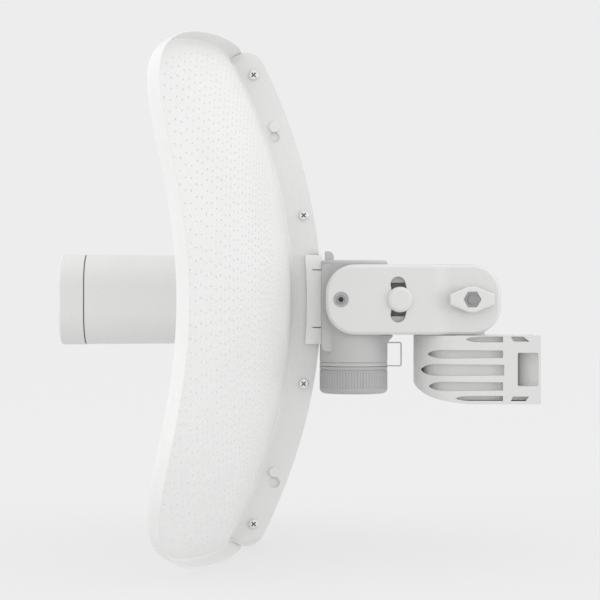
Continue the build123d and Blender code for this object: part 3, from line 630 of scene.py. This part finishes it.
def buildSpring():
    # a circle of wire carried round a helix under the release tab, built at rest; pressing the tab shortens it
    turns = (spring["height"] - 2 * spring["wire"]) / spring["pitch"]
    t = np.linspace(0, 2 * math.pi * turns, 150)[:, None]
    u = np.linspace(0, 2 * math.pi, 9)[None, :-1]
    reach = spring["coil"] + spring["wire"] * np.cos(u)
    climb = spring["pitch"] * t / (2 * math.pi)
    height = spring["foot"] + spring["wire"] + climb + spring["wire"] * np.sin(u)
    points = place(reach * np.cos(t), spring["aft"] + reach * np.sin(t), height)
    piece = gridPiece("releaseSpring", points, closedColumns=True, caps=True)
    finishPiece(piece, "stainlessWire", "head", ["release_spring"])
    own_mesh(piece)


buildSpring()
print("spring built")

studio = {
    "distance": 1.712, "aside": 8.7, "drop": 0.4, "lens": 118.3, "sensor": 36.0,   # camera: metres, then mm
    "towards": 0.40, "across": 1.20, "behind": 0.847,     # brightness of the tent by direction
    "floorGlow": 0.60, "floorTone": 0.22,
    "floorReach": 6.0, "floorGap": 0.0015,                # metres, out from the middle and under the object
    "lampAim": (0, -0.15, 0.05),
}
lamps = {
    # name: (place, size in metres, power in watts)
    "above": ((0.5, -0.1, 2.0), 1.2, 1),
    "frontLeft": ((0.8, -2.2, 0.0), 1.0, 9),
    "lowBehind": ((1.2, 1.7, -0.05), 0.6, 6),
}


def buildCamera():
    cam = linked(bpy.data.objects.new("camera", bpy.data.cameras.new("camera")))
    cam.data.lens, cam.data.sensor_width = studio["lens"], studio["sensor"]
    cam.location = (studio["distance"], apexY + studio["aside"] * mm, boresightZ - studio["drop"] * mm)
    cam.rotation_euler = (math.radians(90), 0, math.radians(90))
    cam.data.clip_end = 50
    bpy.context.scene.camera = cam


def buildTent():
    # a light tent: dim where the object's right side looks out, bright all round, paper white beyond
    world = bpy.data.worlds.new("studio")
    bpy.context.scene.world = world
    world.use_nodes = True
    nodes, links = world.node_tree.nodes, world.node_tree.links
    split = nodes.new("ShaderNodeSeparateXYZ")
    links.new(nodes.new("ShaderNodeTexCoord").outputs["Generated"], split.inputs[0])
    turn = nodes.new("ShaderNodeMapRange")
    turn.inputs["From Min"].default_value, turn.inputs["From Max"].default_value = -1.0, 1.0
    links.new(split.outputs["X"], turn.inputs["Value"])
    ramp = nodes.new("ShaderNodeValToRGB")
    ramp.color_ramp.interpolation = "EASE"
    stops = [(0.0, studio["behind"]), (0.02, studio["behind"]), (0.3, studio["across"]),
             (0.58, studio["across"]), (1.0, studio["towards"])]
    for spot, level in stops:
        stop = ramp.color_ramp.elements.new(spot)
        stop.color = (level, level, level, 1)
    ramp.color_ramp.elements.remove(ramp.color_ramp.elements[-1])
    ramp.color_ramp.elements.remove(ramp.color_ramp.elements[0])
    links.new(turn.outputs["Result"], ramp.inputs["Fac"])
    links.new(ramp.outputs["Color"], nodes["Background"].inputs["Color"])


def buildLamp(name, spot, size, power):
    light = bpy.data.lights.new(name, "AREA")
    light.shape, light.size, light.energy = "SQUARE", size, power
    lampObject = linked(bpy.data.objects.new(name, light))
    lampObject.location = spot
    lampObject.visible_camera = False
    towards = Vector(studio["lampAim"]) - Vector(spot)
    lampObject.rotation_euler = towards.to_track_quat("-Z", "Y").to_euler()


def buildFloor():
    reach = np.linspace(-studio["floorReach"], studio["floorReach"], 3)
    floorZ = cadBox[0].z - studio["floorGap"]
    floor = gridPiece("floor", np.stack(np.broadcast_arrays(reach[:, None], reach[None, :], floorZ), -1))
    paper = bpy.data.materials.new("paleFloor")
    paper.use_nodes = True
    shader = paper.node_tree.nodes["Principled BSDF"]
    tone = studio["floorTone"]
    shader.inputs["Base Color"].default_value = (tone, tone, tone, 1)
    shader.inputs["Roughness"].default_value = 0.9
    shader.inputs["Specular IOR Level"].default_value = 0.0
    shader.inputs["Emission Color"].default_value = (1, 1, 1, 1)
    shader.inputs["Emission Strength"].default_value = studio["floorGlow"]
    floor.data.materials.append(paper)


bpy.context.scene.view_settings.view_transform = "Standard"
buildCamera()
buildTent()
for lampName, lamp in lamps.items():
    buildLamp(lampName, *lamp)
buildFloor()
print("camera, lights and floor in place")
